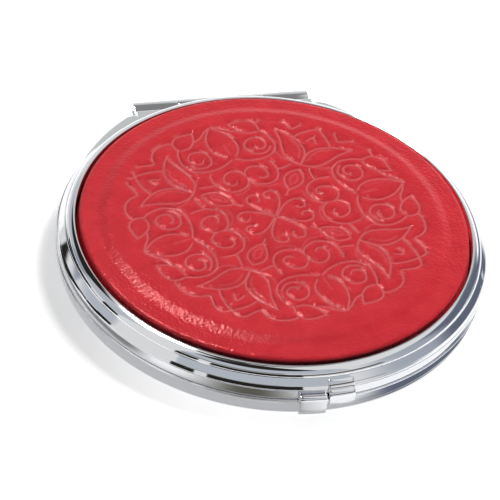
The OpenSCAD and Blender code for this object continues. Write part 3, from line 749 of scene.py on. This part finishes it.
def distance_to(curves, x, y, limit=2.4):
    """Distance of each point (x, y) to the nearest curve, up to a limit. For every side of a curve it is the length
    of what is left of the vector from the side's start once its part along the side, kept within the side, is taken
    off."""
    nearest = np.full(x.shape, limit)
    for curve in curves:
        line = flowing(curve)
        low, high = line.min(0) - limit, line.max(0) + limit
        near = np.flatnonzero((x > low[0]) & (x < high[0]) & (y > low[1]) & (y < high[1]))
        best = nearest[near] ** 2
        px, py = x[near], y[near]
        for p, q in zip(line, line[1:]):
            d = q - p
            t = np.clip(((px - p[0]) * d[0] + (py - p[1]) * d[1]) / (d @ d), 0, 1)
            best = np.minimum(best, (px - p[0] - t * d[0]) ** 2 + (py - p[1] - t * d[1]) ** 2)
        nearest[near] = np.sqrt(best)
    return nearest


def pressed_depth(x, y):
    """Depth of the die's grooves at (x, y), and how strongly the painted highlight along them shows there. The plane
    is turned to the tulip axis and folded into one eighth by taking absolute values and the larger one first; a
    groove is a bell curve of the distance, with a wide shallow sink, and the painted highlight is a narrower bell
    curve."""
    t = math.radians(rosette_turn)
    u, v = x - rosette_x, y - rosette_y
    u, v = np.abs(u * math.cos(t) - v * math.sin(t)), np.abs(u * math.sin(t) + v * math.cos(t))
    u, v = np.minimum(u, v), np.maximum(u, v)
    d, faint = distance_to(grooves, u, v), distance_to(faint_grooves, u, v)
    depth = (groove_depth * np.exp(-(d / groove_w) ** 2) + sink_depth * np.exp(-(d / sink_w) ** 2)
             + faint_depth * np.exp(-(faint / faint_w) ** 2))
    return depth, np.exp(-(d / highlight_w) ** 2) + faint_highlight * np.exp(-(faint / highlight_w) ** 2)


# The centre is a square grid drawn out to a disc: each square ring of it becomes a circle, and the place along the
# square's side gives the angle.
cells = 157
u, v = np.meshgrid(np.linspace(-1, 1, 2 * cells + 1), np.linspace(-1, 1, 2 * cells + 1))
square = np.maximum(np.abs(u), np.abs(v))
wide = np.abs(u) >= np.abs(v)
spin = np.where(wide, np.pi / 4 * v / np.where(wide & (square > 0), u, 1) + np.where(u < 0, np.pi, 0),
                np.pi / 2 - np.pi / 4 * u / np.where(wide, 1, v) + np.where(v < 0, np.pi, 0))
grid_x, grid_y = (centre_r * square * np.cos(spin)).ravel(), (centre_r * square * np.sin(spin)).ravel()
depth, line = pressed_depth(grid_x, grid_y)
grid_h = centre_h + crown * (1 - (grid_x ** 2 + grid_y ** 2) / shoulder_r0 ** 2) - depth
index = np.arange(len(grid_x)).reshape(u.shape)
edge_loop = np.concatenate([index[0, :-1], index[:-1, -1], index[-1, :0:-1], index[:0:-1, 0]])
loop_a = np.arctan2(grid_y[edge_loop], grid_x[edge_loop])

# Its edge is carried on in rings of points down the shoulder, over the border, round the turned edge and under.
s = np.linspace(0, 1, 19)[1:]
shoulder = np.stack([shoulder_r0 + (shoulder_r1 - shoulder_r0) * s,
                     centre_h - shoulder_drop * (1 - np.cos(np.pi * s)) / 2], -1)
skin = np.concatenate([[(r, centre_h + crown * (1 - (r / shoulder_r0) ** 2)) for r in (25.6, 26.2, shoulder_r0)],
                       shoulder, [(29.9, 5.5), (30.6, 5.45)], bend(31.1, 4.7, 0.75, 0.74, 84, 0, 12),
                       [(31.95, 3.9), (insert_r, 3.5)], bend(31.9, 3.2, 0.2, 0.2, 0, -90, 4),
                       [(30, 3.0), (27.6, 3.0), (27.6, 3.4), (board_r, 3.4), (board_r, 4.6)],
                       [(30.2, 4.65), (shoulder_r1, 4.75), (28.0, 5.1), (shoulder_r0, 5.4), (14, 5.5)]])
rings = np.stack([skin[:, :1] * np.cos(loop_a), skin[:, :1] * np.sin(loop_a),
                  np.repeat(skin[:, 1:], len(loop_a), 1)], -1)
points = np.concatenate([np.stack([grid_x, grid_y, grid_h], -1), rings.reshape(-1, 3), [(0, 0, 5.55)]])
points = points + (0, 0, parting)
loops = np.concatenate([edge_loop[None], index.size + np.arange(rings[..., 0].size).reshape(rings.shape[:2])])
fan = np.stack([loops[-1], np.full(len(loop_a), len(points) - 1), np.roll(loops[-1], -1)], -1)
leather = mesh_object("leather_pad", points, np.concatenate([grid_quads(index), ring_quads(loops)]), fan)

# The side of the pad, inside the lip, gets a painted shade, darkest towards the front, for the shade in the gap
# under the lip.
gap_shade_top, gap_shade_fade, gap_shade_r, gap_shade_way, gap_shade_least = 5.3, 0.6, 31, math.radians(95), 0.05
side = np.clip((gap_shade_top + parting - points[:, 2]) / gap_shade_fade, 0, 1)
side = side * (np.hypot(points[:, 0], points[:, 1]) > gap_shade_r)
side *= np.clip(-0.1 + 1.1 * np.cos(np.arctan2(points[:, 1], points[:, 0]) + gap_shade_way), gap_shade_least, 1)
rest = np.zeros(len(points) - len(depth))
# pressed sets how strong the painted shade in the grooves is.
for label, value in (("pressed", np.concatenate([depth / (groove_depth + sink_depth), rest])),
                     ("line", np.concatenate([line, rest])), ("side", smooth(side))):
    leather.data.attributes.new(label, "FLOAT", "POINT").data.foreach_set("value", value.astype(np.float32))

red_leather, nodes, link, out = new_material("red_leather")
hide = nodes.new("ShaderNodeBsdfPrincipled")
where = nodes.new("ShaderNodeTexCoord")
tone = noise(nodes, link, where.outputs["Object"], 300, 6)
dyed = ramped(nodes, link, tone, 0.3, 0.7, (0.57, 0.016, 0.026), (0.66, 0.024, 0.036))
pressed, highlight_attr, gap_shade = (nodes.new("ShaderNodeAttribute") for _ in range(3))
pressed.attribute_name, highlight_attr.attribute_name, gap_shade.attribute_name = "pressed", "line", "side"
groove_shade, groove_highlight, shaded = (nodes.new("ShaderNodeMix") for _ in range(3))
groove_shade.data_type = groove_highlight.data_type = shaded.data_type = "RGBA"
groove_shade.blend_type = "MULTIPLY"
fine = nodes.new("ShaderNodeMath")
fine.operation, fine.inputs[1].default_value = "MULTIPLY", highlight_share
link(highlight_attr.outputs["Fac"], fine.inputs[0])
# The grooves are multiplied darker by their depth: a painted shade in them.
for share, colour, second, mix in ((pressed.outputs["Fac"], dyed, (0.82, 0.7, 0.72, 1), groove_shade),
                                   # a pale painted highlight along the grooves
                                   (fine.outputs[0], groove_shade.outputs["Result"], (0.78, 0.21, 0.22, 1), groove_highlight),
                                   # a painted shade of the gap under the lip, on the pad's side
                                   (gap_shade.outputs["Fac"], groove_highlight.outputs["Result"], (0.06, 0.003, 0.005, 1),
                                    shaded)):
    link(share, mix.inputs["Factor"])
    link(colour, mix.inputs["A"])
    mix.inputs["B"].default_value = second
link(shaded.outputs["Result"], hide.inputs["Base Color"])
hide.inputs["Specular IOR Level"].default_value = 0.2
pebble = nodes.new("ShaderNodeTexVoronoi")
pebble.feature = "SMOOTH_F1"
pebble.inputs["Scale"].default_value, pebble.inputs["Smoothness"].default_value = 1900, 0.6
link(where.outputs["Object"], pebble.inputs["Vector"])
pores = noise(nodes, link, where.outputs["Object"], 3800, 4)
swell = noise(nodes, link, where.outputs["Object"], 220, 2)
swollen = bumped(nodes, link, swell, 0.3, 0.00025)
pebbled = bumped(nodes, link, pebble.outputs["Distance"], 0.8, 0.00012, swollen)
link(bumped(nodes, link, pores, 0.35, 0.00004, pebbled), hide.inputs["Normal"])
link(ranged(nodes, link, pores, (0.24, 0.36)), hide.inputs["Roughness"])
link(hide.outputs[0], out.inputs[0])
leather.data.materials.append(red_leather)
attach(leather, "lid")
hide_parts("leather_cover")
